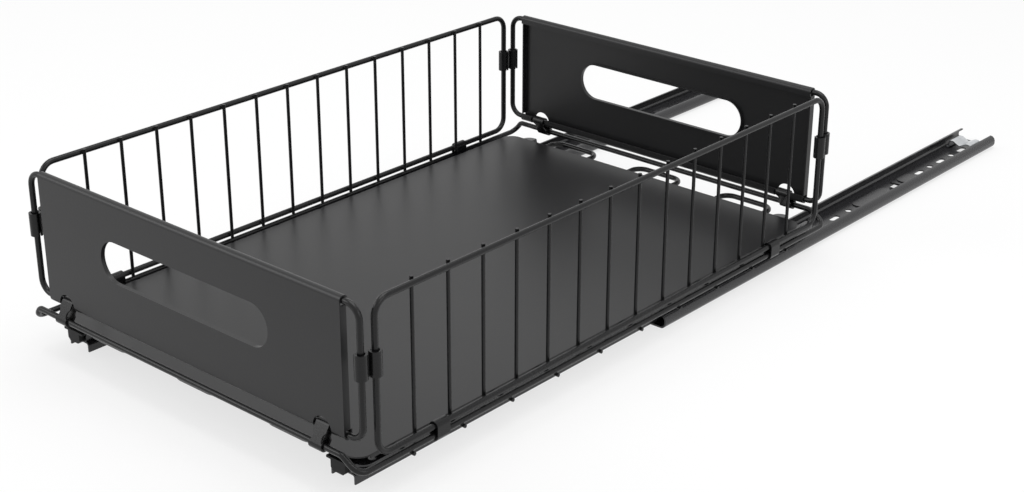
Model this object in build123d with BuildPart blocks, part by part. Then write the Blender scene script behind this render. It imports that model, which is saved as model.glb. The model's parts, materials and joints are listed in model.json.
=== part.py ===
"""Pull out cabinet basket: a wire and sheet-metal basket on two ball-bearing slides.

Frame: +X right seen from the front, +Y towards the back of the cabinet, +Z up.
Origin: on the cabinet floor, midway between the two cabinet rails and halfway along them.
The basket stands pulled out towards -Y. All sizes are in millimetres.
"""
from build123d import *
import os

os.makedirs("parts", exist_ok=True)

# ---- Wire stock, sheet and fits ----------------------------------------------------------
wire_d = 4.0  # frames, base and floor loops
thin_d = 2.4  # uprights and cross wires
sheet_t = 1.0  # painted panels
panel_fit = 0.15  # between a panel's roll and the wire it wraps
clip_t = 1.2  # strap steel
clip_fit = 0.15  # between a strap and its wires
sleeve_t = 1.4  # corner clip steel
sleeve_fit = 0.6  # between a corner clip's sleeve and its wire
running_gap = 0.4  # between parts that move past each other

# ---- Cabinet rails and slide motion ------------------------------------------------------
rail_length = 468.0
rail_width = 35.0
rail_depth = 10.0
rail_t = 1.2
rail_lip = 4.5  # outer side of the rail to the edge of its turned-in rim
raceway_bend = 3.8  # middle of the sheet, at the rail's four long bends
rail_spacing = 247.6  # centre to centre of the two slides
pulled_out = 282.5  # rail front to inner member front, as photographed

# ---- Holes and details of the cabinet rails, from the rail's middle ----------------------
screw_hole_d = 6.0
rail_slot_length = 12.0
rail_slot_width = 5.0
screw_spacing = 310.0  # round holes taken by the main screws
end_screw_spacing = 382.0  # round holes nearer the ends
middle_screw_y = 27.5
front_slot_y = -208.0
middle_slot_y = 7.0
rear_slot_y = 172.5
rear_slot_pitch = 35.5
rear_slot_count = 3
hook_y = 97.0
hook_length = 9.0
hook_width = 5.0
hook_height = 3.5
hook_side_gap = 0.3
rib_width = 11.0  # stamped stiffening ribs between the holes
rib_rise = 0.8
rib_front_y = 62.0
rib_front_length = 48.0
rib_rear_y = 117.0
rib_rear_length = 20.0

# ---- Rear stops --------------------------------------------------------------------------
stop_length = 17.0
stop_end_gap = 13.0
stop_t = 1.2
stop_half_width = 12.5
stop_shoulder = 9.5  # half width at the top of the two humps
stop_crest = 6.0  # half distance between the humps
stop_rise = 7.2
stop_dip = 4.0
stop_bend = 1.4

# ---- Inner members, carriers, end pieces, cages ------------------------------------------
inner_width = 20.0
inner_above_rims = 1.0
inner_length = 438.0
inner_bend = 2.0
inner_skirt_gap = 3.0  # from the rail's web up to the inner member's lower edges
carrier_length = 468.0
carrier_width = 34.0
carrier_crown = 17.0
carrier_taper = 1.5
carrier_height = 7.5
carrier_corner = 7.0
carrier_hole_d = 5.0
carrier_hole_gap = 11.0  # from the carrier's end
carrier_hole_x = 12.75  # from the carrier's middle
rivet_head_d = 7.0
rivet_head_h = 0.5
rivet_count = 4
bumper_length = 4.0
bumper_width = 12.0
bumper_drop = 8.5  # below the carrier's top
bumper_flange_width = 19.0
bumper_flange_t = 1.6
bumper_chamfer = 2.0
ball_d = 5.6
ball_pitch = 17.0
ball_count = 3  # in each row
cage_t = 0.7
cage_end = 21.0  # cage past its last ball
cage_hole_fit = 0.1
cage_above_ball = 2.2  # cage side above the balls' middle

# ---- Base frame and floor ----------------------------------------------------------------
basket_width = 305.4  # over the base frame's side wires
basket_length = 479.6  # over its front and rear wires
basket_overhang = 12.8  # front wire's centre line in front of the inner members
base_bend = 7.0
base_rise = 8.0  # front and rear wires stand above the side wires
base_step_in = 9.0  # from the corner point to the start of the step
base_step_run = 8.0
base_step_bend = 4.0
cross_count = 10
cross_front_gap = 41.3  # base front wire to the first cross wire
cross_rear_gap = 52.7
cross_tip = 0.5  # cross wire past the side wire's outer line
loop_count = 3
loop_pitch = 84.0
loop_half_x = 21.6
loop_bend = 9.0
loop_front_gap = 8.4  # base front wire to the loops' front ends
loop_past_rear = 0.7
floor_side_gap = 8.4  # base side wire to the floor's edge
floor_front_gap = 7.3
floor_rear_gap = 15.8
floor_corner = 10.0
floor_lip = 2.0  # side edges turned down

# ---- Walls -------------------------------------------------------------------------------
side_height = 96.0  # lower to top wire, centre to centre
side_bend = 10.0
side_seat = 5.9  # side wall's lower wire above the base side wire
side_end_gap = 15.1  # base end wire to the side wall's end wire
upright_count = 14
upright_margin = 32.1  # side wall's end wire to the first upright
upright_tip = 0.5  # upright past the top wire's upper line
end_height = 82.7
end_bend = 9.0
end_seat = 9.8  # end wall's lower wire above the base end wire
end_side_gap = 2.2  # base side wire to the end wall's side wire
end_inset = 6.2  # base end wire to the end wall
panel_side_gap = 12.0  # end wall's side wire to the panel's edge
panel_hook = 1.0  # how far the rolls come round past the wire's centre
panel_return = 5.0  # side flanges
slot_length = 153.0
slot_height = 28.0
slot_above_middle = 4.0
slot_rim = 2.0
notch_r = 7.5  # half-round openings for the base clips

# ---- Clips -------------------------------------------------------------------------------
end_clip_gap = 30.0  # end wall's side wire to the middle of a base clip
side_clip_front_gap = 5.27  # front clip on a side wall to the second upright
side_clip_rear_gap = 0.77  # rear clip to the last upright but one
base_clip_width = 10.5
clip_waist_r = 3.0
clip_waist_depth = 1.7
corner_clip_height = 15.7
corner_clip_rise = 46.8  # from the end wall's lower wire to the clip's middle
sleeve_slit = 1.6  # where a sleeve's strip ends meet

# ---- Places worked out from the sizes above ----------------------------------------------
wire_r = wire_d / 2
thin_r = thin_d / 2
rail_x = rail_spacing / 2
rail_front = -rail_length / 2
rail_rear = rail_length / 2
inner_front = rail_front - pulled_out
inner_rear = inner_front + inner_length
carrier_rear = inner_front + carrier_length
base_half_x = basket_width / 2 - wire_r
base_half_y = basket_length / 2 - wire_r
basket_y = inner_front - basket_overhang + base_half_y
inner_top = rail_depth + inner_above_rims
inner_skirt = rail_t + inner_skirt_gap
carrier_top = inner_top + carrier_height
cross_z = carrier_top + thin_r
side_wire_z = cross_z + thin_r + wire_r
end_wire_z = side_wire_z + base_rise
floor_z = side_wire_z + wire_r
side_low_z = side_wire_z + side_seat
end_low_z = end_wire_z + end_seat
end_mid_z = end_low_z + end_height / 2
side_half_y = base_half_y - side_end_gap
end_half_x = base_half_x - end_side_gap
end_half_y = base_half_y - end_inset
panel_half_x = end_half_x - panel_side_gap
upright_x = base_half_x - wire_r - thin_r
upright_pitch = 2 * (side_half_y - upright_margin) / (upright_count - 1)
upright_bottom = side_low_z - wire_r
upright_top = side_low_z + side_height + wire_r + upright_tip
cross_front = basket_y - base_half_y + cross_front_gap
cross_rear = basket_y + base_half_y - cross_rear_gap
cross_pitch = (cross_rear - cross_front) / (cross_count - 1)
loop_front = basket_y - base_half_y + loop_front_gap
loop_rear = basket_y + base_half_y + loop_past_rear
floor_front = basket_y - base_half_y + floor_front_gap
floor_rear = basket_y + base_half_y - floor_rear_gap
floor_width = 2 * (base_half_x - floor_side_gap)
end_clip_x = end_half_x - end_clip_gap
roll_r = wire_r + panel_fit + sheet_t
strap_r = wire_r + clip_fit + clip_t
sleeve_r = wire_r + sleeve_fit + sleeve_t
basket_plane = Plane((0, basket_y, 0))


def across(y):
    """Plane square to the slides at y, with local x to the right and local y up."""
    return Plane(origin=(0, y, 0), x_dir=(1, 0, 0), z_dir=(0, -1, 0))


def along(x):
    """Plane square to the X axis at x, with local x to the back and local y up."""
    return Plane(origin=(x, basket_y, 0), x_dir=(0, 1, 0), z_dir=(1, 0, 0))


def bent_wire(path, radius):
    """Round wire along a path: its straight runs extruded, its bends revolved."""
    with BuildPart() as wire:
        for edge in path.edges():
            with BuildSketch(Plane(edge @ 0, z_dir=edge % 0)):
                Circle(radius)
            if edge.geom_type == GeomType.LINE:
                extrude(amount=edge.length)
            else:
                turn = (edge % 0).get_angle(edge % 1)
                turn_axis = Axis(edge.arc_center, (edge % 0).cross(edge % 1))
                revolve(axis=turn_axis, revolution_arc=turn)
    return wire.part


# ---- Base frame: one wire, stepped up at its four corners --------------------------------
step_start = base_half_x - base_step_in
step_end = step_start - base_step_run
front_half = [
    (base_half_x, -base_half_y, side_wire_z),
    (step_start, -base_half_y, side_wire_z),
    (step_end, -base_half_y, end_wire_z),
    (-step_end, -base_half_y, end_wire_z),
    (-step_start, -base_half_y, side_wire_z),
    (-base_half_x, -base_half_y, side_wire_z),
]
rear_half = [(-x, -y, z) for x, y, z in front_half]
corner_radii = [base_bend] + [base_step_bend] * 4 + [base_bend]

with BuildLine(basket_plane) as base_path:
    FilletPolyline(*front_half, *rear_half, radius=corner_radii * 2, close=True)
with BuildPart() as base_frame:
    add(bent_wire(base_path.line, wire_r))
base_frame.part.label = "base_frame"
export_step(base_frame.part, "parts/base_frame.step")

with BuildPart() as cross_wires:
    with BuildSketch(Plane.YZ.offset(-base_half_x - wire_r - cross_tip)):
        with Locations(((cross_front + cross_rear) / 2, cross_z)):
            with GridLocations(cross_pitch, 1, cross_count, 1):
                Circle(thin_r)
    extrude(amount=2 * (base_half_x + wire_r + cross_tip))
cross_wires.part.label = "cross_wires"
export_step(cross_wires.part, "parts/cross_wires.step")

with BuildLine(Plane((0, 0, side_wire_z))) as loop_path:
    FilletPolyline(
        (loop_half_x, loop_rear),
        (-loop_half_x, loop_rear),
        (-loop_half_x, loop_front),
        (loop_half_x, loop_front),
        radius=loop_bend,
        close=True,
    )
with BuildPart() as floor_loops:
    with GridLocations(loop_pitch, 1, loop_count, 1):
        add(bent_wire(loop_path.line, wire_r))
floor_loops.part.label = "floor_loops"
export_step(floor_loops.part, "parts/floor_loops.step")

with BuildPart() as floor_panel:
    floor_mid = Plane((0, (floor_front + floor_rear) / 2, floor_z))
    with BuildSketch(floor_mid):
        RectangleRounded(floor_width, floor_rear - floor_front, floor_corner)
    extrude(amount=sheet_t)
    with BuildSketch(floor_mid):
        with GridLocations(floor_width - sheet_t, 1, 2, 1):
            Rectangle(sheet_t, floor_rear - floor_front - 2 * floor_corner)
    extrude(amount=-floor_lip)
floor_panel.part.label = "floor_panel"
export_step(floor_panel.part, "parts/floor_panel.step")

# ---- Side walls --------------------------------------------------------------------------
with BuildLine(along(base_half_x)) as side_path:
    FilletPolyline(
        (side_half_y, side_low_z),
        (side_half_y, side_low_z + side_height),
        (-side_half_y, side_low_z + side_height),
        (-side_half_y, side_low_z),
        radius=side_bend,
        close=True,
    )
with BuildPart() as right_side_frame:
    add(bent_wire(side_path.line, wire_r))
right_side_frame.part.label = "right_side_frame"
export_step(right_side_frame.part, "parts/right_side_frame.step")

with BuildPart() as left_side_frame:
    mirror(right_side_frame.part, about=Plane.YZ)
left_side_frame.part.label = "left_side_frame"
export_step(left_side_frame.part, "parts/left_side_frame.step")

with BuildPart() as right_side_uprights:
    with BuildSketch(Plane((upright_x, basket_y, upright_bottom))):
        with GridLocations(1, upright_pitch, 1, upright_count):
            Circle(thin_r)
    extrude(amount=upright_top - upright_bottom)
right_side_uprights.part.label = "right_side_uprights"
export_step(right_side_uprights.part, "parts/right_side_uprights.step")

with BuildPart() as left_side_uprights:
    mirror(right_side_uprights.part, about=Plane.YZ)
left_side_uprights.part.label = "left_side_uprights"
export_step(left_side_uprights.part, "parts/left_side_uprights.step")

# ---- Front and rear walls ----------------------------------------------------------------
front_y = basket_y - end_half_y
basket_mid = Plane.XZ.offset(-basket_y)

with BuildLine(across(front_y)) as end_path:
    FilletPolyline(
        (end_half_x, end_low_z),
        (end_half_x, end_low_z + end_height),
        (-end_half_x, end_low_z + end_height),
        (-end_half_x, end_low_z),
        radius=end_bend,
        close=True,
    )
with BuildPart() as front_wall_frame:
    add(bent_wire(end_path.line, wire_r))
front_wall_frame.part.label = "front_wall_frame"
export_step(front_wall_frame.part, "parts/front_wall_frame.step")

with BuildPart() as rear_wall_frame:
    mirror(front_wall_frame.part, about=basket_mid)
rear_wall_frame.part.label = "rear_wall_frame"
export_step(rear_wall_frame.part, "parts/rear_wall_frame.step")

slot_z = end_mid_z + slot_above_middle
hook_low = end_low_z + wire_r + panel_hook
hook_high = end_low_z + end_height - wire_r - panel_hook
outer_face = front_y - roll_r

with BuildPart() as front_panel:
    # sheet rolled round the top and lower wires, open towards the inside
    with BuildSketch(Plane.YZ.offset(-panel_half_x)):
        with Locations((front_y, end_mid_z)):
            SlotCenterToCenter(end_height, 2 * roll_r, rotation=90)
            SlotCenterToCenter(end_height, 2 * (roll_r - sheet_t), rotation=90, mode=Mode.SUBTRACT)
        with Locations((outer_face + sheet_t, end_mid_z)):
            Rectangle(
                3 * roll_r,
                hook_high - hook_low,
                align=(Align.MIN, Align.CENTER),
                mode=Mode.SUBTRACT,
            )
    extrude(amount=2 * panel_half_x)
    # side flanges
    for side in (-1, 1):
        with BuildSketch(Plane((0, outer_face, 0), x_dir=(1, 0, 0), z_dir=(0, 1, 0))):
            with Locations((side * (panel_half_x - sheet_t / 2), -end_mid_z)):
                Rectangle(sheet_t, hook_high - hook_low)
        extrude(amount=panel_return)
    # handle slot with its turned-in rim
    with BuildSketch(across(outer_face + slot_rim + sheet_t)):
        with Locations((0, slot_z)):
            SlotOverall(slot_length + 2 * sheet_t, slot_height + 2 * sheet_t)
    extrude(amount=slot_rim + sheet_t / 2)
    with BuildSketch(across(front_y)):
        with Locations((0, slot_z)):
            SlotOverall(slot_length, slot_height)
    extrude(amount=2 * roll_r, both=True, mode=Mode.SUBTRACT)
    # half-round openings for the base clips
    with BuildSketch(across(front_y)):
        with Locations((-end_clip_x, end_low_z - sheet_t), (end_clip_x, end_low_z - sheet_t)):
            Circle(notch_r)
    extrude(amount=2 * roll_r, both=True, mode=Mode.SUBTRACT)
front_panel.part.label = "front_panel"
export_step(front_panel.part, "parts/front_panel.step")

with BuildPart() as rear_panel:
    mirror(front_panel.part, about=basket_mid)
rear_panel.part.label = "rear_panel"
export_step(rear_panel.part, "parts/rear_panel.step")

# ---- Corner clips: two open sleeves joining the walls' upright wires ----------------------
corner_clip_z = end_low_z + corner_clip_rise - corner_clip_height / 2
side_end = (base_half_x, -side_half_y)
end_end = (end_half_x, -end_half_y)

with BuildPart() as front_right_corner_clip:
    with BuildSketch(Plane((0, basket_y, corner_clip_z))):
        with Locations(side_end, end_end):
            Circle(sleeve_r)
        with Locations(side_end, end_end):
            Circle(sleeve_r - sleeve_t, mode=Mode.SUBTRACT)
        # the strip's ends stay open towards the inside of the basket
        with Locations(side_end, end_end):
            Rectangle(
                2 * sleeve_r,
                sleeve_slit,
                align=(Align.MAX, Align.CENTER),
                mode=Mode.SUBTRACT,
            )
    extrude(amount=corner_clip_height)
front_right_corner_clip.part.label = "front_right_corner_clip"
export_step(front_right_corner_clip.part, "parts/front_right_corner_clip.step")

with BuildPart() as front_left_corner_clip:
    mirror(front_right_corner_clip.part, about=Plane.YZ)
front_left_corner_clip.part.label = "front_left_corner_clip"
export_step(front_left_corner_clip.part, "parts/front_left_corner_clip.step")

with BuildPart() as rear_right_corner_clip:
    mirror(front_right_corner_clip.part, about=basket_mid)
rear_right_corner_clip.part.label = "rear_right_corner_clip"
export_step(rear_right_corner_clip.part, "parts/rear_right_corner_clip.step")

with BuildPart() as rear_left_corner_clip:
    mirror(front_left_corner_clip.part, about=basket_mid)
rear_left_corner_clip.part.label = "rear_left_corner_clip"
export_step(rear_left_corner_clip.part, "parts/rear_left_corner_clip.step")

# ---- Base clips: waisted straps round a wall's lower wire and the base wire ---------------
with BuildPart() as front_base_clips:
    for clip_x in (-end_clip_x, end_clip_x):
        with BuildSketch(along(clip_x - base_clip_width / 2)):
            with Locations((-base_half_y, end_wire_z), (-end_half_y, end_low_z)):
                Circle(strap_r)
            make_hull()
            offset(amount=-clip_t, mode=Mode.SUBTRACT)
        extrude(amount=base_clip_width)
    with BuildSketch(across(basket_y - end_half_y)):
        with Locations((0, end_wire_z + end_seat / 2)):
            for clip_x in (-end_clip_x, end_clip_x):
                with Locations((clip_x, 0)):
                    with GridLocations(
                        base_clip_width + 2 * (clip_waist_r - clip_waist_depth), 1, 2, 1
                    ):
                        Circle(clip_waist_r)
    extrude(amount=4 * strap_r, both=True, mode=Mode.SUBTRACT)
front_base_clips.part.label = "front_base_clips"
export_step(front_base_clips.part, "parts/front_base_clips.step")

with BuildPart() as rear_base_clips:
    mirror(front_base_clips.part, about=basket_mid)
rear_base_clips.part.label = "rear_base_clips"
export_step(rear_base_clips.part, "parts/rear_base_clips.step")

second_upright = side_half_y - upright_margin - upright_pitch
side_clip_reach = base_clip_width / 2 + thin_r
side_clip_front = basket_y - second_upright - side_clip_reach - side_clip_front_gap
side_clip_rear = basket_y + second_upright + side_clip_reach + side_clip_rear_gap

with BuildPart() as right_base_clips:
    for clip_y in (side_clip_front, side_clip_rear):
        with BuildSketch(across(clip_y + base_clip_width / 2)):
            with Locations((base_half_x, side_wire_z + side_seat / 2)):
                SlotCenterToCenter(side_seat, 2 * strap_r, rotation=90)
                SlotCenterToCenter(
                    side_seat, 2 * (strap_r - clip_t), rotation=90, mode=Mode.SUBTRACT
                )
        extrude(amount=base_clip_width)
right_base_clips.part.label = "right_base_clips"
export_step(right_base_clips.part, "parts/right_base_clips.step")

with BuildPart() as left_base_clips:
    mirror(right_base_clips.part, about=Plane.YZ)
left_base_clips.part.label = "left_base_clips"
export_step(left_base_clips.part, "parts/left_base_clips.step")

# ---- Cabinet rails -----------------------------------------------------------------------
with BuildPart() as right_cabinet_rail:
    # rolled sheet: flat web, round raceways, rims turned in
    with BuildSketch(across(rail_rear)):
        with BuildLine(Location((rail_x, rail_t / 2))):
            FilletPolyline(
                (-rail_width / 2 + rail_lip, rail_depth - rail_t),
                (-rail_width / 2 + rail_t / 2, rail_depth - rail_t),
                (-rail_width / 2 + rail_t / 2, 0),
                (rail_width / 2 - rail_t / 2, 0),
                (rail_width / 2 - rail_t / 2, rail_depth - rail_t),
                (rail_width / 2 - rail_lip, rail_depth - rail_t),
                radius=raceway_bend,
            )
        trace(line_width=rail_t)
    extrude(amount=rail_length)
    # stamped ribs, hollow below
    with BuildSketch(Plane((rail_x, 0, rail_t))):
        with Locations((0, rib_front_y)):
            SlotOverall(rib_front_length, rib_width, rotation=90)
        with Locations((0, rib_rear_y)):
            SlotOverall(rib_rear_length, rib_width, rotation=90)
    extrude(amount=rib_rise)
    with BuildSketch(Plane((rail_x, 0, 0))):
        with Locations((0, rib_front_y)):
            SlotOverall(rib_front_length - 2 * rail_t, rib_width - 2 * rail_t, rotation=90)
        with Locations((0, rib_rear_y)):
            SlotOverall(rib_rear_length - 2 * rail_t, rib_width - 2 * rail_t, rotation=90)
    extrude(amount=rib_rise, mode=Mode.SUBTRACT)
    with BuildSketch(Plane((rail_x, 0, 0))):
        with GridLocations(1, screw_spacing, 1, 2):
            Circle(screw_hole_d / 2)
        with GridLocations(1, end_screw_spacing, 1, 2):
            Circle(screw_hole_d / 2)
        with Locations((0, middle_screw_y)):
            Circle(screw_hole_d / 2)
        with Locations((0, front_slot_y), (0, middle_slot_y)):
            SlotOverall(rail_slot_length, rail_slot_width, rotation=90)
        with Locations((0, rear_slot_y)):
            with GridLocations(1, rear_slot_pitch, 1, rear_slot_count):
                SlotOverall(rail_slot_length, rail_slot_width, rotation=90)
        with Locations((0, hook_y)):
            Rectangle(hook_width, hook_length)
    extrude(amount=rail_t, mode=Mode.SUBTRACT)
    # lanced hook standing up from the web
    hook_rear = hook_y + hook_length / 2
    hook_front = hook_y - hook_length / 2 + rail_t
    with BuildSketch(Plane.YZ.offset(rail_x - hook_width / 2 + hook_side_gap)):
        with BuildLine():
            Polyline(
                (hook_rear + rail_t, 0),
                (hook_rear, 0),
                (hook_front, hook_height),
                (hook_front, hook_height + rail_t),
                (hook_rear + rail_t, rail_t),
                close=True,
            )
        make_face()
    extrude(amount=hook_width - 2 * hook_side_gap)
right_cabinet_rail.part.label = "right_cabinet_rail"
export_step(right_cabinet_rail.part, "parts/right_cabinet_rail.step")

with BuildPart() as left_cabinet_rail:
    mirror(right_cabinet_rail.part, about=Plane.YZ)
left_cabinet_rail.part.label = "left_cabinet_rail"
export_step(left_cabinet_rail.part, "parts/left_cabinet_rail.step")

# ---- Rear stops: springs with two humps and a dip between them ----------------------------
stop_rear = rail_rear - stop_end_gap

with BuildPart() as right_rail_stop:
    with BuildSketch(across(stop_rear)):
        with BuildLine(Location((rail_x, rail_t + stop_t / 2))):
            FilletPolyline(
                (-stop_half_width, 0),
                (-stop_shoulder, 0),
                (-stop_shoulder, stop_rise - stop_t),
                (-stop_crest, stop_rise - stop_t),
                (0, stop_dip - stop_t),
                (stop_crest, stop_rise - stop_t),
                (stop_shoulder, stop_rise - stop_t),
                (stop_shoulder, 0),
                (stop_half_width, 0),
                radius=stop_bend,
            )
        trace(line_width=stop_t)
    extrude(amount=stop_length)
right_rail_stop.part.label = "right_rail_stop"
export_step(right_rail_stop.part, "parts/right_rail_stop.step")

with BuildPart() as left_rail_stop:
    mirror(right_rail_stop.part, about=Plane.YZ)
left_rail_stop.part.label = "left_rail_stop"
export_step(left_rail_stop.part, "parts/left_rail_stop.step")

# ---- Inner members -----------------------------------------------------------------------
with BuildPart() as right_inner_rail:
    with BuildSketch(across(inner_rear)):
        with BuildLine(Location((rail_x, 0))):
            FilletPolyline(
                (-inner_width / 2 + rail_t / 2, inner_skirt),
                (-inner_width / 2 + rail_t / 2, inner_top - rail_t / 2),
                (inner_width / 2 - rail_t / 2, inner_top - rail_t / 2),
                (inner_width / 2 - rail_t / 2, inner_skirt),
                radius=inner_bend,
            )
        trace(line_width=rail_t)
    extrude(amount=inner_length)
right_inner_rail.part.label = "right_inner_rail"
export_step(right_inner_rail.part, "parts/right_inner_rail.step")

with BuildPart() as left_inner_rail:
    mirror(right_inner_rail.part, about=Plane.YZ)
left_inner_rail.part.label = "left_inner_rail"
export_step(left_inner_rail.part, "parts/left_inner_rail.step")

# ---- Carriers: hat sections between the inner members and the cross wires ------------------
crown_low = carrier_crown / 2 - carrier_taper

with BuildPart() as right_rail_carrier:
    with BuildSketch(across(carrier_rear)):
        with BuildLine(Location((rail_x, inner_top))):
            Polyline(
                (-carrier_width / 2, carrier_height - rail_t / 2),
                (-carrier_crown / 2, carrier_height - rail_t / 2),
                (-crown_low, rail_t / 2),
                (crown_low, rail_t / 2),
                (carrier_crown / 2, carrier_height - rail_t / 2),
                (carrier_width / 2, carrier_height - rail_t / 2),
            )
        trace(line_width=rail_t)
    extrude(amount=carrier_length)
    # rounded flange ends with a hole in each
    with BuildSketch(Plane((rail_x, (inner_front + carrier_rear) / 2, inner_top))):
        Rectangle(2 * carrier_width, 2 * carrier_length)
        RectangleRounded(
            carrier_width, carrier_length, carrier_corner, mode=Mode.SUBTRACT
        )
    extrude(amount=carrier_height, mode=Mode.SUBTRACT)
    with BuildSketch(Plane((rail_x, (inner_front + carrier_rear) / 2, inner_top))):
        with GridLocations(
            2 * carrier_hole_x, carrier_length - 2 * carrier_hole_gap, 2, 2
        ):
            Circle(carrier_hole_d / 2)
    extrude(amount=carrier_height, mode=Mode.SUBTRACT)
right_rail_carrier.part.label = "right_rail_carrier"
export_step(right_rail_carrier.part, "parts/right_rail_carrier.step")

with BuildPart() as left_rail_carrier:
    mirror(right_rail_carrier.part, about=Plane.YZ)
left_rail_carrier.part.label = "left_rail_carrier"
export_step(left_rail_carrier.part, "parts/left_rail_carrier.step")

with BuildPart() as right_rail_rivets:
    rivet_pitch = inner_length / rivet_count
    rivet_plane = Plane((rail_x, inner_front + inner_length / 2, inner_top + rail_t))
    with BuildSketch(rivet_plane):
        with GridLocations(1, rivet_pitch, 1, rivet_count):
            Circle(rivet_head_d / 2)
    extrude(amount=rivet_head_h)
right_rail_rivets.part.label = "right_rail_rivets"
export_step(right_rail_rivets.part, "parts/right_rail_rivets.step")

with BuildPart() as left_rail_rivets:
    mirror(right_rail_rivets.part, about=Plane.YZ)
left_rail_rivets.part.label = "left_rail_rivets"
export_step(left_rail_rivets.part, "parts/left_rail_rivets.step")

# ---- Front end pieces of the slides --------------------------------------------------------
with BuildPart() as right_front_bumper:
    with BuildSketch(across(inner_front)) as bumper_face:
        with Locations((rail_x, carrier_top)):
            Rectangle(
                bumper_width, bumper_drop, align=(Align.CENTER, Align.MAX)
            )
            chamfer(bumper_face.vertices().group_by(Axis.Y)[0], length=bumper_chamfer)
            Rectangle(
                bumper_flange_width, bumper_flange_t, align=(Align.CENTER, Align.MAX)
            )
    extrude(amount=bumper_length)
right_front_bumper.part.label = "right_front_bumper"
export_step(right_front_bumper.part, "parts/right_front_bumper.step")

with BuildPart() as left_front_bumper:
    mirror(right_front_bumper.part, about=Plane.YZ)
left_front_bumper.part.label = "left_front_bumper"
export_step(left_front_bumper.part, "parts/left_front_bumper.step")

# ---- Ball cages and balls ------------------------------------------------------------------
overlap_mid = (rail_front + inner_rear) / 2
ball_row = (rail_width / 2 - rail_t + inner_width / 2) / 2
ball_z = rail_depth / 2
cage_length = (ball_count - 1) * ball_pitch + 2 * cage_end
cage_low = rail_t + running_gap
cage_high = ball_z + cage_above_ball

with BuildPart() as right_ball_cage:
    with BuildSketch(across(overlap_mid + cage_length / 2)):
        with Locations((rail_x, cage_low)):
            Rectangle(
                2 * ball_row + cage_t,
                cage_high - cage_low,
                align=(Align.CENTER, Align.MIN),
            )
        with Locations((rail_x, cage_low + cage_t)):
            Rectangle(
                2 * ball_row - cage_t,
                cage_high,
                align=(Align.CENTER, Align.MIN),
                mode=Mode.SUBTRACT,
            )
    extrude(amount=cage_length)
    with BuildSketch(Plane((rail_x, overlap_mid, ball_z), x_dir=(0, 1, 0), z_dir=(1, 0, 0))):
        with GridLocations(ball_pitch, 1, ball_count, 1):
            Circle(ball_d / 2 + cage_hole_fit)
    extrude(amount=rail_width / 2, both=True, mode=Mode.SUBTRACT)
right_ball_cage.part.label = "right_ball_cage"
export_step(right_ball_cage.part, "parts/right_ball_cage.step")

with BuildPart() as left_ball_cage:
    mirror(right_ball_cage.part, about=Plane.YZ)
left_ball_cage.part.label = "left_ball_cage"
export_step(left_ball_cage.part, "parts/left_ball_cage.step")

with BuildPart() as right_balls:
    with Locations((rail_x, overlap_mid, ball_z)):
        with GridLocations(2 * ball_row, ball_pitch, 2, ball_count):
            Sphere(ball_d / 2)
right_balls.part.label = "right_balls"
export_step(right_balls.part, "parts/right_balls.step")

with BuildPart() as left_balls:
    mirror(right_balls.part, about=Plane.YZ)
left_balls.part.label = "left_balls"
export_step(left_balls.part, "parts/left_balls.step")
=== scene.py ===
"""Looks of the pull out cabinet basket: wirework, panels, clips and two ball-bearing slides.

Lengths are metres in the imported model's own frame: +X right seen from the front, +Y to the
back of the cabinet, +Z up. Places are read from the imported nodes' boxes, so that each finished
piece lies where the one it stands for does. Only weld beads are added, and only the base ring's
corners have another form than their node's.
"""
import json
import logging
import math
from dataclasses import dataclass, field
from enum import Enum
from itertools import pairwise
from typing import Callable, Iterable, Sequence

import bpy
from mathutils import Matrix, Vector

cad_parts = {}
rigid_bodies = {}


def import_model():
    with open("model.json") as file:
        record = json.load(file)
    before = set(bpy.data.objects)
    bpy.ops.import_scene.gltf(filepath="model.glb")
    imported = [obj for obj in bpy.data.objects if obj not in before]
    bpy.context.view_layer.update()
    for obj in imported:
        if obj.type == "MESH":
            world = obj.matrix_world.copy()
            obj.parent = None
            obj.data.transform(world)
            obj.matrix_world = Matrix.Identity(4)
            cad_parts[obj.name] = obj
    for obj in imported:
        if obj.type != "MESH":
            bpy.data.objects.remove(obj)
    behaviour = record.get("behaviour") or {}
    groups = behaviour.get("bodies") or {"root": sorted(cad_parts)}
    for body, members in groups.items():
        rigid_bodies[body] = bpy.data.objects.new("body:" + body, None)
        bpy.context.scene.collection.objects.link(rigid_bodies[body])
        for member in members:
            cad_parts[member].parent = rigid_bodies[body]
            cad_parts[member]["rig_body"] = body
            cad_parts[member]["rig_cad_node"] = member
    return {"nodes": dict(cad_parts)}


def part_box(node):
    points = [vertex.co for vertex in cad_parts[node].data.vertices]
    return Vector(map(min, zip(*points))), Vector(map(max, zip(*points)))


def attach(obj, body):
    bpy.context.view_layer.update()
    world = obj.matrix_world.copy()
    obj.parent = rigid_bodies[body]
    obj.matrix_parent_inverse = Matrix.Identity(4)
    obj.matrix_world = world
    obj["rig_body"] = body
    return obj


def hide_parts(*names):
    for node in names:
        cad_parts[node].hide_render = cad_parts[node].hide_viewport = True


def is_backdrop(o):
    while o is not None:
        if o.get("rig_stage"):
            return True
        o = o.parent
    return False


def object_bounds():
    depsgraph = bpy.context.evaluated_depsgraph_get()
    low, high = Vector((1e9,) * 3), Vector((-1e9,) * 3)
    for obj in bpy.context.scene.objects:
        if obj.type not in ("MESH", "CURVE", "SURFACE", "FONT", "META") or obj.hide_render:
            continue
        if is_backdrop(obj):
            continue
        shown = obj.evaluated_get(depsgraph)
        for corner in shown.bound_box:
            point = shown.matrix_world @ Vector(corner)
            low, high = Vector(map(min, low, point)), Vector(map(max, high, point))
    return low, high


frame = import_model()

MM = 0.001
SAME_POINT = 0.01 * MM  # vertices nearer than this are the same point
BEND_STEPS = 8
WIRE_SIDES = 16
END_EASE = 0.16  # eased width of a cut wire's end, as a share of its gauge
BEAD_WAIST = 0.35  # half width of a weld bead's waist, as a share of its thinnest half size
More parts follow.
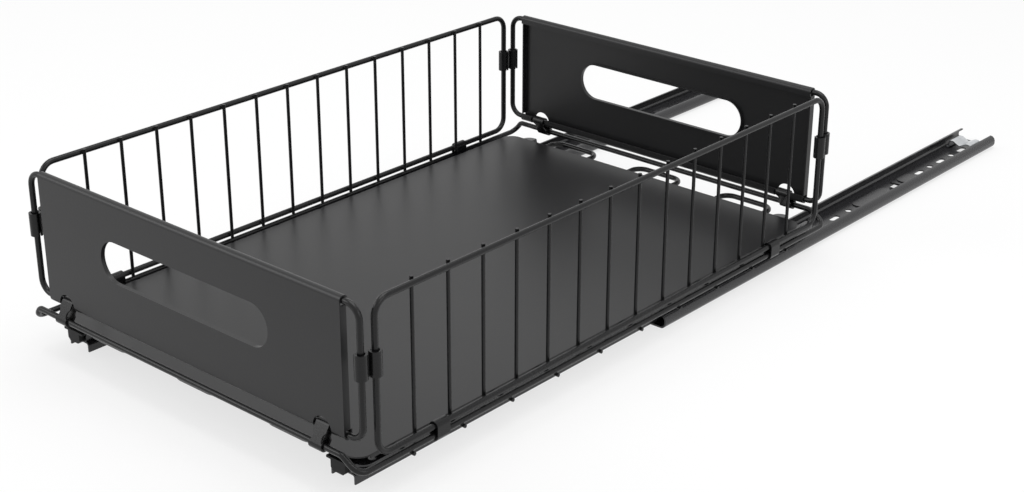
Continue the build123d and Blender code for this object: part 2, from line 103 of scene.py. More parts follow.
BEAD_SQUEEZE = 0.86  # how far the waist is drawn in
LOG = logging.getLogger("pull_out_basket")


class Side(Enum):
    """The two sides of the basket, seen from the front, by the sign of X."""

    LEFT = -1
    RIGHT = 1


class End(Enum):
    """The two ends of the basket, by the sign of Y from its middle."""

    FRONT = -1
    REAR = 1


# ---- Node and colour helpers -------------------------------------------------------------


def linear(hex_colour: str) -> tuple[float, float, float, float]:
    """Turn an sRGB hex colour into the linear values that shaders take.

    Args:
        hex_colour: Six hex digits with a leading #.

    Returns:
        Linear red, green, blue and an alpha of one.
    """
    channels = [int(hex_colour[i : i + 2], 16) / 255 for i in (1, 3, 5)]
    low, high = 0.04045, 2.4
    values = [c / 12.92 if c <= low else ((c + 0.055) / 1.055) ** high for c in channels]
    return values[0], values[1], values[2], 1.0


def add_node(
    tree: bpy.types.NodeTree,
    kind: str,
    settings: dict[str, object] | None = None,
    inputs: dict[str | int, object] | None = None,
) -> bpy.types.Node:
    """Add one shader node with its settings, input values and incoming links.

    Args:
        tree: Node tree that takes the node.
        kind: Blender's node type name.
        settings: Attributes of the node itself.
        inputs: Socket name or index to a value, or to the output socket linked to it.

    Returns:
        The new node.
    """
    node = tree.nodes.new(kind)
    for attribute, value in (settings or {}).items():
        setattr(node, attribute, value)
    for socket, value in (inputs or {}).items():
        if isinstance(value, bpy.types.NodeSocket):
            tree.links.new(value, node.inputs[socket])
        else:
            node.inputs[socket].default_value = value
    return node


def new_tree(name: str) -> tuple[bpy.types.Material, bpy.types.NodeTree]:
    """Make an empty node material.

    Args:
        name: Name of the material.

    Returns:
        The material and its cleared node tree.
    """
    material = bpy.data.materials.new(name)
    material.use_nodes = True
    material.node_tree.nodes.clear()
    return material, material.node_tree


# ---- Finishes ----------------------------------------------------------------------------


@dataclass(frozen=True)
class PowderCoat:
    """Satin black polyester powder, sprayed and baked on steel.

    The melt leaves a soft orange peel a couple of millimetres across, with a finer grain on
    it; a paler line painted along each edge, where the bevelled normal turns away, is a painted
    highlight.
    """

    name: str
    colour: str
    tone: str
    # edge: paler colour of the painted edge highlight
    edge: str
    roughness: float = 0.36
    shine: float = 0.36
    peel: float = 2.2 * MM
    grain: float = 0.7 * MM  # really about 0.2 mm, drawn coarser so that it shows
    tone_size: float = 60 * MM
    highlight_edge_width: float = 0.5 * MM
    peel_depth: float = 0.045 * MM

    def material(self) -> bpy.types.Material:
        """Build the coat's node material."""
        material, tree = new_tree(self.name)
        place = add_node(tree, "ShaderNodeTexCoord").outputs["Object"]
        cloud = add_node(
            tree,
            "ShaderNodeTexNoise",
            inputs={"Vector": place, "Scale": 1 / self.tone_size, "Detail": 3.0},
        )
        peel = add_node(
            tree,
            "ShaderNodeTexNoise",
            inputs={"Vector": place, "Scale": 1 / self.peel, "Detail": 1.0},
        )
        grain = add_node(
            tree,
            "ShaderNodeTexNoise",
            inputs={"Vector": place, "Scale": 1 / self.grain, "Detail": 2.0},
        )
        body = add_node(
            tree,
            "ShaderNodeMix",
            {"data_type": "RGBA"},
            {"Factor": cloud.outputs["Fac"], "A": linear(self.colour), "B": linear(self.tone)},
        )
        # Painted highlight: a paler colour is mixed in along edges, where the bevelled normal
        # turns away from the true one.
        eased = add_node(
            tree, "ShaderNodeBevel", {"samples": 4}, {"Radius": self.highlight_edge_width}
        )
        facing = add_node(tree, "ShaderNodeNewGeometry").outputs["Normal"]
        agree = add_node(
            tree,
            "ShaderNodeVectorMath",
            {"operation": "DOT_PRODUCT"},
            {0: eased.outputs["Normal"], 1: facing},
        )
        painted_edge_highlight = add_node(
            tree,
            "ShaderNodeMapRange",
            inputs={
                "Value": agree.outputs["Value"],
                "From Min": 0.99,
                "From Max": 0.84,
                "To Min": 0.0,
                "To Max": 0.5,
            },
        )
        colour = add_node(
            tree,
            "ShaderNodeMix",
            {"data_type": "RGBA"},
            {
                "Factor": painted_edge_highlight.outputs["Result"],
                "A": body.outputs["Result"],
                "B": linear(self.edge),
            },
        )
        gloss = add_node(
            tree,
            "ShaderNodeMapRange",
            inputs={
                "Value": grain.outputs["Fac"],
                "From Min": 0.3,
                "From Max": 0.7,
                "To Min": self.roughness - 0.04,
                "To Max": self.roughness + 0.05,
            },
        )
        waves = add_node(
            tree,
            "ShaderNodeBump",
            inputs={
                "Height": peel.outputs["Fac"],
                "Distance": self.peel_depth,
                "Strength": 0.5,
            },
        )
        grit = add_node(
            tree,
            "ShaderNodeBump",
            inputs={
                "Height": grain.outputs["Fac"],
                "Distance": self.peel_depth / 3,
                "Strength": 0.4,
                "Normal": waves.outputs["Normal"],
            },
        )
        shader = add_node(
            tree,
            "ShaderNodeBsdfPrincipled",
            inputs={
                "Base Color": colour.outputs["Result"],
                "Roughness": gloss.outputs["Result"],
                "Normal": grit.outputs["Normal"],
                "Metallic": 0.0,
                "Specular IOR Level": self.shine,
                "IOR": 1.5,
            },
        )
        add_node(
            tree, "ShaderNodeOutputMaterial", inputs={"Surface": shader.outputs["BSDF"]}
        )
        return material


@dataclass(frozen=True)
class RolledSteel:
    """Bare or plated steel that shows its rolling or its plating.

    Rolling leaves fine streaks along the strip, and zinc adds a soft cloud of lighter and
    darker grains, so that the shine is broken up instead of mirror-like.
    """

    name: str
    colour: str
    shade: str
    roughness: float
    streak: float = 0.8 * MM
    cloud_size: float = 5 * MM

    def material(self) -> bpy.types.Material:
        """Build the metal's node material, with streaks that run along Y."""
        material, tree = new_tree(self.name)
        place = add_node(tree, "ShaderNodeTexCoord").outputs["Object"]
        along_strip = add_node(
            tree, "ShaderNodeMapping", inputs={"Vector": place, "Scale": (1.0, 0.03, 1.0)}
        )
        streaks = add_node(
            tree,
            "ShaderNodeTexNoise",
            inputs={
                "Vector": along_strip.outputs["Vector"],
                "Scale": 1 / self.streak,
                "Detail": 2.0,
            },
        )
        grains = add_node(
            tree,
            "ShaderNodeTexVoronoi",
            inputs={"Vector": place, "Scale": 1 / self.cloud_size},
        )
        level = add_node(
            tree,
            "ShaderNodeMix",
            {"data_type": "FLOAT"},
            {0: 0.45, 2: streaks.outputs["Fac"], 3: grains.outputs["Distance"]},
        )
        colour = add_node(
            tree,
            "ShaderNodeMix",
            {"data_type": "RGBA"},
            {"Factor": level.outputs[0], "A": linear(self.colour), "B": linear(self.shade)},
        )
        gloss = add_node(
            tree,
            "ShaderNodeMapRange",
            inputs={
                "Value": level.outputs[0],
                "To Min": self.roughness - 0.05,
                "To Max": self.roughness + 0.1,
            },
        )
        scratches = add_node(
            tree,
            "ShaderNodeBump",
            inputs={
                "Height": streaks.outputs["Fac"],
                "Distance": 0.01 * MM,
                "Strength": 0.5,
            },
        )
        shader = add_node(
            tree,
            "ShaderNodeBsdfPrincipled",
            inputs={
                "Base Color": colour.outputs["Result"],
                "Metallic": 1.0,
                "Roughness": gloss.outputs["Result"],
                "Normal": scratches.outputs["Normal"],
            },
        )
        add_node(
            tree, "ShaderNodeOutputMaterial", inputs={"Surface": shader.outputs["BSDF"]}
        )
        return material


@dataclass(frozen=True)
class MouldedNylon:
    """Black nylon, injection moulded in a spark-eroded tool.

    The tool's fine pitting gives an even matte skin without any direction.
    """

    name: str
    colour: str
    tone: str
    roughness: float = 0.5
    shine: float = 0.2
    pit: float = 0.5 * MM  # really about 0.1 mm, drawn coarser so that it shows

    def material(self) -> bpy.types.Material:
        """Build the plastic's node material."""
        material, tree = new_tree(self.name)
        place = add_node(tree, "ShaderNodeTexCoord").outputs["Object"]
        pits = add_node(
            tree,
            "ShaderNodeTexNoise",
            inputs={"Vector": place, "Scale": 1 / self.pit, "Detail": 2.0},
        )
        colour = add_node(
            tree,
            "ShaderNodeMix",
            {"data_type": "RGBA"},
            {"Factor": pits.outputs["Fac"], "A": linear(self.colour), "B": linear(self.tone)},
        )
        skin = add_node(
            tree,
            "ShaderNodeBump",
            inputs={"Height": pits.outputs["Fac"], "Distance": 0.03 * MM, "Strength": 0.6},
        )
        shader = add_node(
            tree,
            "ShaderNodeBsdfPrincipled",
            inputs={
                "Base Color": colour.outputs["Result"],
                "Roughness": self.roughness,
                "Specular IOR Level": self.shine,
                "IOR": 1.53,
                "Normal": skin.outputs["Normal"],
            },
        )
        add_node(
            tree, "ShaderNodeOutputMaterial", inputs={"Surface": shader.outputs["BSDF"]}
        )
        return material


@dataclass(frozen=True)
class PaperSweep:
    """White paper under the object: white to the camera, with a light shadow left on it."""

    name: str = "white_paper"
    colour: str = "#f2f2f2"
    glow_share: float = 0.72

    def material(self) -> bpy.types.Material:
        """Build the paper's node material."""
        material, tree = new_tree(self.name)
        place = add_node(tree, "ShaderNodeTexCoord").outputs["Object"]
        fibres = add_node(
            tree,
            "ShaderNodeTexNoise",
            inputs={"Vector": place, "Scale": 1 / (3 * MM), "Detail": 2.0},
        )
        lift = add_node(
            tree,
            "ShaderNodeBump",
            inputs={"Height": fibres.outputs["Fac"], "Distance": 0.02 * MM},
        )
        paper = add_node(
            tree,
            "ShaderNodeBsdfDiffuse",
            inputs={"Color": linear(self.colour), "Normal": lift.outputs["Normal"]},
        )
        glow = add_node(tree, "ShaderNodeEmission", inputs={"Strength": 1.0})
        rays = add_node(tree, "ShaderNodeLightPath").outputs
        seen = add_node(
            tree,
            "ShaderNodeMath",
            {"operation": "MAXIMUM"},
            {0: rays["Is Camera Ray"], 1: rays["Is Glossy Ray"]},
        )
        share = add_node(
            tree,
            "ShaderNodeMath",
            {"operation": "MULTIPLY"},
            {0: seen.outputs["Value"], 1: self.glow_share},
        )
        mixed = add_node(
            tree,
            "ShaderNodeMixShader",
            inputs={
                0: share.outputs["Value"],
                1: paper.outputs["BSDF"],
                2: glow.outputs["Emission"],
            },
        )
        add_node(
            tree, "ShaderNodeOutputMaterial", inputs={"Surface": mixed.outputs["Shader"]}
        )
        return material


# The third colour of each coat is its painted edge highlight.
WIRE_COAT = PowderCoat(
    "satin_powder_coat_on_wire", "#0e0e0f", "#131314", "#1f1f21", roughness=0.25, shine=0.28
)
SHEET_COAT = PowderCoat("satin_powder_coat_on_sheet", "#161617", "#1b1b1c", "#3c3c3e")
RAIL_COAT = PowderCoat(
    "black_electrocoat_on_rail", "#1a1a1c", "#232325", "#4a4a4c", roughness=0.26, shine=0.5
)
ZINC = RolledSteel("bright_zinc_plated_steel", "#d9dbdd", "#a9acaf", roughness=0.28)
CAGE_STEEL = RolledSteel("rolled_strip_steel", "#b9bbbc", "#8f9193", roughness=0.34)
BALL_STEEL = RolledSteel(
    "ground_bearing_steel", "#d5d7d9", "#bfc1c3", roughness=0.12, streak=0.3 * MM
)
NYLON = MouldedNylon("black_moulded_nylon", "#0b0b0c", "#121213")


# ---- Modelling helpers -------------------------------------------------------------------


def deselect() -> None:
    """Leave no object selected, so that an operator acts on new work only."""
    bpy.ops.object.select_all(action="DESELECT")


def hold(piece: bpy.types.Object) -> None:
    """Select one object alone and make it the active one."""
    deselect()
    piece.select_set(True)
    bpy.context.view_layer.objects.active = piece


def pick_vertices(piece: bpy.types.Object, test: Callable[[Vector], bool]) -> int:
    """Select the vertices of a mesh that pass a test, with the edges and faces they close.

    Args:
        piece: Mesh object in object mode.
        test: Takes a vertex's place and says whether it is wanted.

    Returns:
        How many vertices were picked.
    """
    mesh = piece.data
    for vertex in mesh.vertices:
        vertex.select = test(vertex.co)
    for edge in mesh.edges:
        edge.select = all(mesh.vertices[i].select for i in edge.vertices)
    for face in mesh.polygons:
        face.select = all(mesh.vertices[i].select for i in face.vertices)
    return sum(vertex.select for vertex in mesh.vertices)


def settle(piece: bpy.types.Object, name: str, smooth_angle: float = 35.0) -> bpy.types.Object:
    """Name a piece, put its place into its mesh and smooth its round stretches.

    Args:
        piece: Finished mesh object.
        name: Its name.
        smooth_angle: Faces that meet at less than this many degrees shade as one.

    Returns:
        The same object.
    """
    hold(piece)
    bpy.ops.object.transform_apply(location=True, rotation=True, scale=True)
    bpy.ops.object.shade_smooth_by_angle(angle=math.radians(smooth_angle))
    flat = piece.modifiers.new("flat_faces_stay_flat", "WEIGHTED_NORMAL")
    flat.keep_sharp = True
    flat.weight = 100
    bpy.ops.object.modifier_apply(modifier=flat.name)
    piece.name = name
    piece.data.name = name
    return piece


def join(parts: Sequence[bpy.types.Object]) -> bpy.types.Object:
    """Join several mesh objects into the first one."""
    deselect()
    for part in parts:
        part.select_set(True)
    bpy.context.view_layer.objects.active = parts[0]
    if len(parts) > 1:
        bpy.ops.object.join()
    return parts[0]


def copies(pattern: bpy.types.Object, moves: Iterable[Vector]) -> list[bpy.types.Object]:
    """Repeat a piece, each copy with its own mesh.

    Args:
        pattern: The piece that is repeated; it stays where it is.
        moves: How far each copy lies from it.

    Returns:
        The pattern and its copies.
    """
    made = [pattern]
    for move in moves:
        hold(pattern)
        bpy.ops.object.duplicate(linked=False)
        bpy.ops.transform.translate(value=move)
        bpy.ops.object.transform_apply(location=True, rotation=False, scale=False)
        made.append(bpy.context.object)
    return made


def corner_setback(before: Vector, corner: Vector, after: Vector, bend: float) -> float:
    """Distance from a corner to where a bend of a given radius starts.

    Args:
        before: Point before the corner.
        corner: The corner.
        after: Point after it.
        bend: Radius of the wire's centre line in the bend.

    Returns:
        The distance along either run.
    """
    turn = (corner - before).angle(after - corner)
    return bend * math.tan(turn / 2)


def wire_ring(
    corners: Sequence[Vector], bends: Sequence[float], gauge: float
) -> bpy.types.Object:
    """Bend one wire round its corners and close it on itself.

    Args:
        corners: Where the straight runs' centre lines meet, in order.
        bends: Bend radius at each corner.
        gauge: Diameter of the wire.

    Returns:
        The wire as a mesh object.
    """
    deselect()
    bpy.ops.mesh.primitive_plane_add(size=MM, location=(0, 0, 0))
    ring = bpy.context.object
    bpy.ops.object.mode_set(mode="EDIT")
    bpy.ops.mesh.select_mode(type="VERT")
    bpy.ops.mesh.select_all(action="SELECT")
    bpy.ops.mesh.merge(type="CENTER")
    bpy.ops.transform.translate(value=corners[0])
    for here, there in pairwise(corners):
        bpy.ops.mesh.extrude_region_move(TRANSFORM_OT_translate={"value": there - here})
    bpy.ops.object.mode_set(mode="OBJECT")
    ends = (corners[0], corners[-1])
    pick_vertices(ring, lambda place: any((place - end).length < SAME_POINT for end in ends))
    bpy.ops.object.mode_set(mode="EDIT")
    bpy.ops.mesh.select_mode(type="VERT")
    bpy.ops.mesh.edge_face_add()
    bpy.ops.object.mode_set(mode="OBJECT")
    count = len(corners)
    setbacks = [
        round(corner_setback(corners[i - 1], corners[i], corners[(i + 1) % count], bend), 7)
        for i, bend in enumerate(bends)
    ]
    for setback in sorted(set(setbacks)):
        places = [corner for corner, own in zip(corners, setbacks) if own == setback]
        pick_vertices(ring, lambda v: any((v - place).length < SAME_POINT for place in places))
        bpy.ops.object.mode_set(mode="EDIT")
        bpy.ops.mesh.bevel(
            offset=setback, segments=BEND_STEPS, profile=0.5, affect="VERTICES"
        )
        bpy.ops.object.mode_set(mode="OBJECT")
    hold(ring)
    bpy.ops.object.convert(target="CURVE")
    ring = bpy.context.object
    ring.data.bevel_depth = gauge / 2
    ring.data.bevel_resolution = 6
    bpy.ops.object.convert(target="MESH")
    return bpy.context.object


def cut_wire(start: Vector, end: Vector, gauge: float) -> bpy.types.Object:
    """Cut one straight wire, with its two ends eased as tumbling leaves them.

    Args:
        start: One end of its centre line.
        end: The other end.
        gauge: Diameter of the wire.

    Returns:
        The wire as a mesh object.
    """
    run = end - start
    deselect()
    bpy.ops.mesh.primitive_cylinder_add(
        vertices=WIRE_SIDES,
        radius=gauge / 2,
        depth=run.length,
        location=(start + end) / 2,
        rotation=run.to_track_quat("Z", "Y").to_euler(),
    )
    wire = bpy.context.object
    pick_vertices(wire, lambda place: True)
    for face in wire.data.polygons:
        face.select = len(face.vertices) > 4
    bpy.ops.object.mode_set(mode="EDIT")
    bpy.ops.mesh.select_mode(type="FACE")
    bpy.ops.mesh.region_to_loop()
    bpy.ops.mesh.bevel(offset=gauge * END_EASE, segments=3, affect="EDGES")
    bpy.ops.object.mode_set(mode="OBJECT")
    bpy.ops.object.transform_apply(location=True, rotation=True, scale=True)
    return wire


def weld_bead(place: Vector, size: Vector) -> bpy.types.Object:
    """Shape the small nugget that a resistance weld squeezes out between two wires.

    Args:
        place: Where the two wires touch.
        size: Half sizes of the nugget along X, Y and Z.

    Returns:
        The nugget as a mesh object.
    """
    deselect()
    bpy.ops.mesh.primitive_uv_sphere_add(segments=10, ring_count=6, radius=1, location=place)
    bead = bpy.context.object
    bpy.ops.object.mode_set(mode="EDIT")
    bpy.ops.transform.resize(value=size, center_override=place)
    bpy.ops.object.mode_set(mode="OBJECT")
    waist = min(size) * BEAD_WAIST
    thin_axis = min(range(3), key=lambda axis: size[axis])
    pick_vertices(bead, lambda v: abs(v[thin_axis]) < waist)
    squeeze = [1.0 if axis == thin_axis else BEAD_SQUEEZE for axis in range(3)]
    bpy.ops.object.mode_set(mode="EDIT")
    bpy.ops.transform.resize(value=squeeze, center_override=place)
    bpy.ops.object.mode_set(mode="OBJECT")
    bpy.ops.object.transform_apply(location=True, rotation=True, scale=True)
    return bead


def pressed_copy(node: str, edge: float, segments: int = 2) -> bpy.types.Object:
    """Take a node's own shape and ease its sheared edges.

    Args:
        node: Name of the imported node.
        edge: Width of the eased edge.
        segments: Steps across it.

    Returns:
        The new mesh object, with its triangles merged back into whole faces.
    """
    hold(frame["nodes"][node])
    bpy.ops.object.duplicate(linked=False)
    piece = bpy.context.object
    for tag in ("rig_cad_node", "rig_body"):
        if tag in piece:
            del piece[tag]
    piece.parent = None
    piece.data.materials.clear()
    bpy.ops.object.mode_set(mode="EDIT")
    bpy.ops.mesh.select_all(action="SELECT")
    bpy.ops.mesh.remove_doubles(threshold=0.002 * MM)
    bpy.ops.mesh.customdata_custom_splitnormals_clear()
    bpy.ops.mesh.dissolve_limited(angle_limit=math.radians(0.5))
    bpy.ops.object.mode_set(mode="OBJECT")
    bevel = piece.modifiers.new("eased_edges", "BEVEL")
    bevel.width = edge
    bevel.segments = segments
    bevel.limit_method = "ANGLE"
    bevel.angle_limit = math.radians(50)
    bevel.use_clamp_overlap = True
    bpy.ops.object.modifier_apply(modifier=bevel.name)
    return piece


def centre(node: str) -> Vector:
    """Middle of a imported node's box."""
    low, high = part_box(node)
    return (low + high) / 2


def hand_over(
    piece: bpy.types.Object, body: str, finish: bpy.types.Material, nodes: Sequence[str]
) -> None:
    """Dress a finished piece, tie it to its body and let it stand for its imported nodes.

    Args:
        piece: The finished piece.
        body: Name of the body that carries it.
        finish: Its material.
        nodes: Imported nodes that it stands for.
    """
    piece.data.materials.clear()
    piece.data.materials.append(finish)
    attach(piece, body)
    if nodes:
        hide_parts(*nodes)
    LOG.info("%s: %d faces on %s", piece.name, len(piece.data.polygons), body)


# ---- Sub-assemblies ----------------------------------------------------------------------


@dataclass
class BaseWirework:
    """Base ring, cross wires and floor loops that carry the whole basket."""

    coat: bpy.types.Material
    body: str = "basket"
    gauge: float = 4.0 * MM
    thin_gauge: float = 2.4 * MM
    cross_count: int = 10
    corner_bend: float = 7.0 * MM
    step_bend: float = 4.0 * MM
    right_slope: float = 13.5 * MM
    left_slope: float = 6.0 * MM
    loop_bend: float = 9.0 * MM
    loop_count: int = 3
    loop_half_width: float = 21.6 * MM

    def build(self) -> None:
        """Make the three kinds of wire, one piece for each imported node."""
        self.base_ring()
        self.cross_wires()
        self.floor_loops()

    def base_ring(self) -> None:
        """Bend the base ring: sides low, ends raised by a slope from each corner.

        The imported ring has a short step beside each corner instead, in the same box.
        """
        low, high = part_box("base_frame")
        r = self.gauge / 2
        left, right = low.x + r, high.x - r
        front, rear = low.y + r, high.y - r
        down, up = low.z + r, high.z - r
        right_top, left_top = right - self.right_slope, left + self.left_slope
        run = [(right, down), (right_top, up), (left_top, up), (left, down)]
        corners = [Vector((x, front, z)) for x, z in run]
        corners += [Vector((x, rear, z)) for x, z in reversed(run)]
        bends = [self.corner_bend, self.step_bend, self.step_bend, self.corner_bend] * 2
        ring = wire_ring(corners, bends, self.gauge)
        settle(ring, "base_ring_wire")
        hand_over(ring, self.body, self.coat, ["base_frame"])

    def cross_wires(self) -> None:
        """Lay the cross wires under the base ring, with a weld at every crossing."""
        low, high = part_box("cross_wires")
        r = self.thin_gauge / 2
        pitch = (high.y - low.y - 2 * r) / (self.cross_count - 1)
        z = (low.z + high.z) / 2
        y = low.y + r
        first = cut_wire(Vector((low.x, y, z)), Vector((high.x, y, z)), self.thin_gauge)
        base_low, base_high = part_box("base_frame")
        rows = [base_low.x + self.gauge / 2, base_high.x - self.gauge / 2]
        loops_low, loops_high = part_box("floor_loops")
        middles = (loops_low.x + loops_high.x) / 2
        pitch_x = (loops_high.x - loops_low.x - 2 * self.loop_half_width - self.gauge) / 2
        for step in (-1, 0, 1):
            for side in Side:
                rows.append(middles + step * pitch_x + side.value * self.loop_half_width)
        size = Vector((1.5, 1.5, 0.9)) * MM
        beads = [weld_bead(Vector((x, y, z + r)), size) for x in rows]
        row = join([first, *beads])
        moves = [Vector((0, pitch * i, 0)) for i in range(1, self.cross_count)]
        piece = join(copies(row, moves))
        settle(piece, "cross_wires_welded")
        hand_over(piece, self.body, self.coat, ["cross_wires"])

    def floor_loops(self) -> None:
        """Bend the three long loops that the floor panel rests on."""
        low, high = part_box("floor_loops")
        r = self.gauge / 2
        z = (low.z + high.z) / 2
        x_last = high.x - r - self.loop_half_width
        corners = [
            Vector((x_last + sx * self.loop_half_width, y, z))
            for sx, y in ((1, high.y - r), (-1, high.y - r), (-1, low.y + r), (1, low.y + r))
        ]
        loop = wire_ring(corners, [self.loop_bend] * 4, self.gauge)
        pitch = 2 * x_last / (self.loop_count - 1)
        moves = [Vector((-pitch * i, 0, 0)) for i in range(1, self.loop_count)]
        piece = join(copies(loop, moves))
        settle(piece, "floor_loops_wire")
        hand_over(piece, self.body, self.coat, ["floor_loops"])


@dataclass
class SideWall:
    """One side wall: a wire frame with upright wires welded inside it."""

    side: Side
    coat: bpy.types.Material
    body: str = "basket"
    gauge: float = 4.0 * MM
    thin_gauge: float = 2.4 * MM
    bend: float = 10.0 * MM
    upright_count: int = 14

    @property
    def word(self) -> str:
        """Side as it stands in the names."""
        return self.side.name.lower()

    def build(self) -> None:
        """Make the frame and the row of uprights."""
        self.frame_wire()
        self.uprights()

    def frame_wire(self) -> None:
        """Bend the wall's closed frame."""
        node = f"{self.word}_side_frame"
        low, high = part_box(node)
        r = self.gauge / 2
        x = (low.x + high.x) / 2
        corners = [
            Vector((x, high.y - r, low.z + r)),
            Vector((x, high.y - r, high.z - r)),
            Vector((x, low.y + r, high.z - r)),
            Vector((x, low.y + r, low.z + r)),
        ]
        ring = wire_ring(corners, [self.bend] * 4, self.gauge)
        settle(ring, f"{self.word}_side_frame_wire")
        hand_over(ring, self.body, self.coat, [node])

    def uprights(self) -> None:
        """Stand the uprights against the frame's inner side, welded at both wires."""
        node = f"{self.word}_side_uprights"
        low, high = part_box(node)
        frame_low, frame_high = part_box(f"{self.word}_side_frame")
        r = self.thin_gauge / 2
        x = (low.x + high.x) / 2
        pitch = (high.y - low.y - 2 * r) / (self.upright_count - 1)
        y = low.y + r
        wire = cut_wire(Vector((x, y, low.z)), Vector((x, y, high.z)), self.thin_gauge)
        touch = x + self.side.value * r
        size = Vector((0.9, 1.5, 1.5)) * MM
        heights = (frame_low.z + self.gauge / 2, frame_high.z - self.gauge / 2)
        beads = [weld_bead(Vector((touch, y, z)), size) for z in heights]
        one = join([wire, *beads])
        moves = [Vector((0, pitch * i, 0)) for i in range(1, self.upright_count)]
        piece = join(copies(one, moves))
        settle(piece, f"{self.word}_side_uprights_welded")
        hand_over(piece, self.body, self.coat, [node])


@dataclass
class EndWall:
    """Front or rear wall: a wire frame and the panel rolled round its long wires."""

    end: End
    wire_coat: bpy.types.Material
    sheet_coat: bpy.types.Material
    body: str = "basket"
    gauge: float = 4.0 * MM
    bend: float = 9.0 * MM
    sheared_edge: float = 0.22 * MM

    @property
    def word(self) -> str:
        """End as it stands in the names."""
        return self.end.name.lower()

    def build(self) -> None:
        """Make the frame and the panel."""
        node = f"{self.word}_wall_frame"
        low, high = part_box(node)
        r = self.gauge / 2
        y = (low.y + high.y) / 2
        corners = [
            Vector((high.x - r, y, low.z + r)),
            Vector((high.x - r, y, high.z - r)),
            Vector((low.x + r, y, high.z - r)),
            Vector((low.x + r, y, low.z + r)),
        ]
        ring = wire_ring(corners, [self.bend] * 4, self.gauge)
        settle(ring, f"{self.word}_wall_frame_wire")
        hand_over(ring, self.body, self.wire_coat, [node])
        panel = pressed_copy(f"{self.word}_panel", self.sheared_edge)
        settle(panel, f"{self.word}_panel_pressed")
        hand_over(panel, self.body, self.sheet_coat, [f"{self.word}_panel"])


@dataclass
class FloorPanel:
    """Sheet floor on the loops, with its side edges turned down."""

    coat: bpy.types.Material
    body: str = "basket"
    sheared_edge: float = 0.25 * MM

    def build(self) -> None:
        """Make the panel."""
        panel = pressed_copy("floor_panel", self.sheared_edge)
        settle(panel, "floor_panel_pressed")
        hand_over(panel, self.body, self.coat, ["floor_panel"])


@dataclass
class Clips:
    """Corner clips and base clips that lock the walls upright on the base."""

    coat: bpy.types.Material
    body: str = "basket"
    sheared_edge: float = 0.18 * MM

    def build(self) -> None:
        """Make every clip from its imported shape, with eased edges."""
        nodes = [f"{e.name.lower()}_{s.name.lower()}_corner_clip" for e in End for s in Side]
        nodes += [f"{word}_base_clips" for word in ("front", "rear", "left", "right")]
        for node in nodes:
            clip = pressed_copy(node, self.sheared_edge)
            settle(clip, f"{node}_bent")
            hand_over(clip, self.body, self.coat, [node])


@dataclass
class Slide:
    """One ball-bearing slide: cabinet rail, cage, inner member, carrier and end piece."""

    side: Side
    coat: bpy.types.Material
    zinc: bpy.types.Material
    cage_steel: bpy.types.Material
    ball_steel: bpy.types.Material
    nylon: bpy.types.Material
    rolled_edge: float = 0.2 * MM

    @property
    def word(self) -> str:
        """Side as it stands in the names."""
        return self.side.name.lower()

    def build(self) -> None:
        """Make the slide's pieces, each on the body that moves it."""
        kept = {
            "cabinet_rail": ("cabinet_rails", self.coat),
            "inner_rail": ("basket", self.coat),
            "rail_carrier": ("basket", self.coat),
            "rail_stop": ("cabinet_rails", self.zinc),
            "rail_rivets": ("basket", self.zinc),
            "front_bumper": ("basket", self.nylon),
            "ball_cage": (f"{self.word}_ball_cage_body", self.cage_steel),
        }
        for kind, (body, finish) in kept.items():
            node = f"{self.word}_{kind}"
            piece = pressed_copy(node, self.rolled_edge)
            settle(piece, f"{node}_finished")
            hand_over(piece, body, finish, [node])
        node = f"{self.word}_balls"
        balls = pressed_copy(node, self.rolled_edge)
        settle(balls, f"{node}_ground")
        hand_over(balls, f"{self.word}_ball_cage_body", self.ball_steel, [node])


# ---- Stage -------------------------------------------------------------------------------


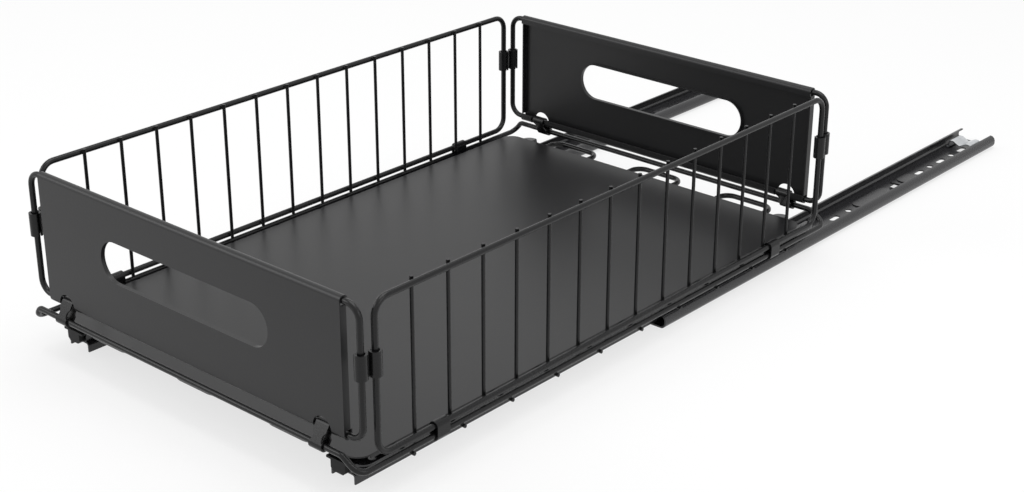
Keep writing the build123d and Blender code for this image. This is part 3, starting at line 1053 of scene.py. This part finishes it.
@dataclass
class Studio:
    """White paper, soft light and the photograph's viewpoint."""

    eye_from_base: Vector = field(default_factory=lambda: Vector((0.7718, -0.8209, 0.5075)))
    azimuth: float = 41.17
    elevation: float = 23.73
    roll: float = 0.21
    focal_pixels: float = 1781.5
    picture_width: float = 1024.0
    sensor: float = 36.0
    paper_size: float = 14.0

    def build(self) -> None:
        """Lay the paper, hang the lamps and set up the camera."""
        self.paper()
        self.world()
        self.lamps()
        self.camera()

    def paper(self) -> None:
        """Lay the paper just under the slides."""
        low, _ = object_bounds()
        deselect()
        bpy.ops.mesh.primitive_plane_add(
            size=self.paper_size, location=(0, 0, low.z - 0.2 * MM)
        )
        paper = bpy.context.object
        paper.name = "paper_floor"
        bpy.ops.object.transform_apply(location=True)
        paper.data.materials.append(PaperSweep().material())
        paper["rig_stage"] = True

    def world(self) -> None:
        """White surroundings, plain white to the camera and in reflections."""
        world = bpy.data.worlds.new("studio")
        bpy.context.scene.world = world
        world.use_nodes = True
        tree = world.node_tree
        tree.nodes.clear()
        rays = add_node(tree, "ShaderNodeLightPath").outputs
        seen = add_node(
            tree,
            "ShaderNodeMath",
            {"operation": "MAXIMUM"},
            {0: rays["Is Camera Ray"], 1: rays["Is Glossy Ray"]},
        )
        strength = add_node(
            tree,
            "ShaderNodeMapRange",
            inputs={"Value": seen.outputs["Value"], "To Min": 0.55, "To Max": 1.0},
        )
        sky = add_node(
            tree,
            "ShaderNodeBackground",
            inputs={"Color": (1, 1, 1, 1), "Strength": strength.outputs["Result"]},
        )
        add_node(
            tree, "ShaderNodeOutputWorld", inputs={"Surface": sky.outputs["Background"]}
        )

    def lamp(self, name: str, place: Vector, size: float, power: float) -> None:
        """Hang one square soft lamp that points at the basket.

        Args:
            name: Name of the lamp.
            place: Where it hangs.
            size: Length of its sides.
            power: Its power in watts.
        """
        aim = centre("floor_panel")
        turn = (aim - place).to_track_quat("-Z", "Y").to_euler()
        deselect()
        bpy.ops.object.light_add(type="AREA", location=place, rotation=turn)
        lamp = bpy.context.object
        lamp.name = name
        lamp.data.size = size
        lamp.data.energy = power

    def lamps(self) -> None:
        """One lamp above, one from the front left and a weak one from the right."""
        self.lamp("lamp_above", Vector((0.1, -0.2, 1.9)), 1.6, 22.0)
        self.lamp("lamp_front_left", Vector((-1.3, -1.7, 1.1)), 1.0, 9.0)
        self.lamp("lamp_right", Vector((1.8, -0.3, 1.0)), 0.9, 5.0)

    def camera(self) -> None:
        """Stand the camera where the photograph was taken from."""
        data = bpy.data.cameras.new("photograph_view")
        camera = bpy.data.objects.new("photograph_view", data)
        bpy.context.scene.collection.objects.link(camera)
        bpy.context.scene.camera = camera
        data.sensor_width = self.sensor
        data.lens = self.sensor * self.focal_pixels / self.picture_width
        turn = Matrix.Rotation(math.radians(self.azimuth), 4, "Z")
        tilt = Matrix.Rotation(math.radians(90 - self.elevation), 4, "X")
        roll = Matrix.Rotation(math.radians(self.roll), 4, "Z")
        eye = centre("base_frame") + self.eye_from_base
        camera.matrix_world = Matrix.Translation(eye) @ turn @ tilt @ roll


def main() -> None:
    """Build every sub-assembly in order."""
    logging.basicConfig(level=logging.INFO, format="%(name)s %(message)s")
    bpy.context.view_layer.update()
    wire_coat = WIRE_COAT.material()
    sheet_coat = SHEET_COAT.material()
    rail_coat = RAIL_COAT.material()
    zinc = ZINC.material()
    cage_steel = CAGE_STEEL.material()
    ball_steel = BALL_STEEL.material()
    nylon = NYLON.material()
    BaseWirework(wire_coat).build()
    FloorPanel(sheet_coat).build()
    for side in Side:
        SideWall(side, wire_coat).build()
    for end in End:
        EndWall(end, wire_coat, sheet_coat).build()
    Clips(wire_coat).build()
    for side in Side:
        Slide(side, rail_coat, zinc, cage_steel, ball_steel, nylon).build()
    Studio().build()
    bpy.context.scene.view_settings.view_transform = "Standard"


if __name__ == "__main__":
    main()
